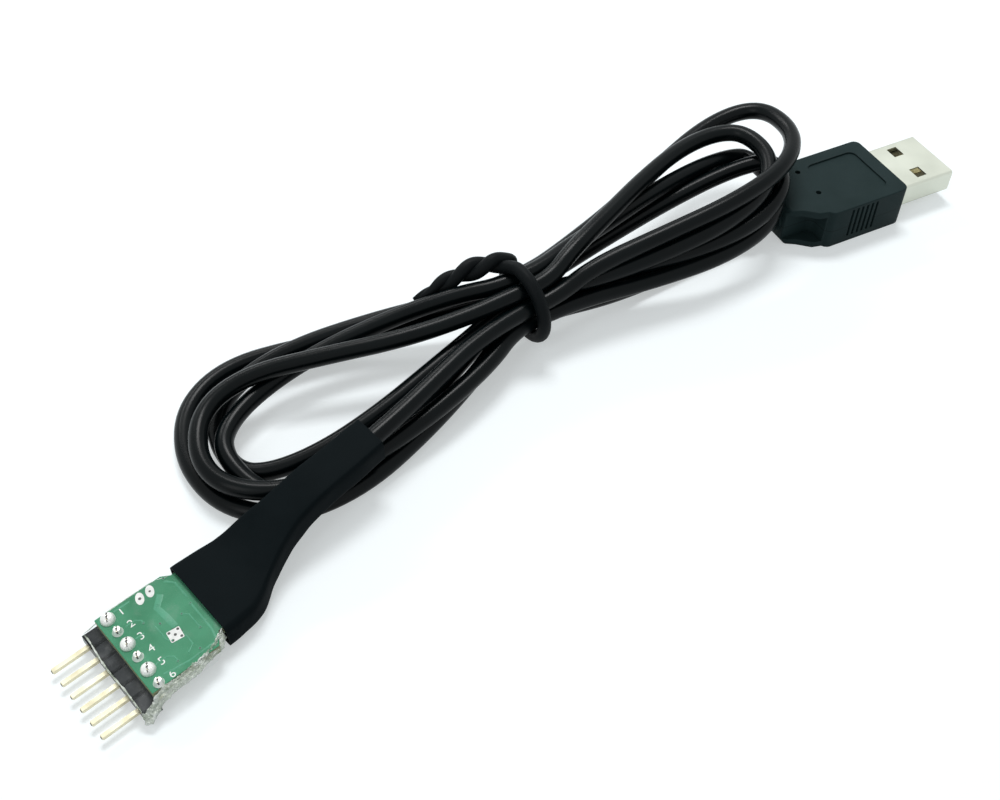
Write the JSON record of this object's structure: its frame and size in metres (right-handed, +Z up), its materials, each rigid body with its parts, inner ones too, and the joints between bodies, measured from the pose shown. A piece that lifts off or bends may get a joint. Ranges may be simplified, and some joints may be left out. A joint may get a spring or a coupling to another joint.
{
  "type": "usb to serial adapter module",
  "caption": "Adapter cable: a film-wrapped circuit board with a right-angle pin header, a cord wound into a hank under a twisted tie, and a flat moulded plug.",
  "frame": {"origin": "middle of the header's front face, on the axis of the row of pins", "axes": "+X from the pins to the cord, along the board; +Y along the header toward pin 1; +Z up, square to the board. The object lies on a table at z = -1.48 mm"},
  "size_m": [0.1769, 0.0542, 0.0161],
  "materials": {
    "header_black": "satin",
    "pin_gold": "polished",
    "board_green": "solder mask, gloss",
    "solder": "polished",
    "chip_black": "matt",
    "lead_tin": "satin",
    "capacitor_tan": "satin",
    "film_clear": "clear, gloss",
    "sleeve_black": "matt",
    "cord_black": "gloss",
    "tie_black": "matt",
    "wire_red": "satin",
    "wire_white": "satin",
    "wire_green": "satin",
    "wire_black": "satin",
    "boot_charcoal": "satin",
    "shell_nickel": "satin",
    "insulator_white": "satin",
    "contact_gold": "polished"
  },
  "bodies": {
    "root": {"header_housing": "header_black", "header_pin_1": "pin_gold", "header_pin_2": "pin_gold", "header_pin_3": "pin_gold", "header_pin_4": "pin_gold", "header_pin_5": "pin_gold", "header_pin_6": "pin_gold", "circuit_board": "board_green", "solder_joints": "solder", "chip_body": "chip_black", "chip_leads": "lead_tin", "crystal": "lead_tin", "capacitors": "capacitor_tan", "clear_film": "film_clear", "black_sleeve": "sleeve_black", "cord_lead": "cord_black", "cord_hank": "cord_black", "cord_tail": "cord_black", "twist_tie": "tie_black", "wire_red": "wire_red", "wire_white": "wire_white", "wire_green": "wire_green", "wire_black": "wire_black", "wire_joints": "solder", "plug_boot": "boot_charcoal", "plug_shell": "shell_nickel", "plug_insulator": "insulator_white", "plug_contact_1": "contact_gold", "plug_contact_2": "contact_gold", "plug_contact_3": "contact_gold", "plug_contact_4": "contact_gold"}
  },
  "joints": []
}
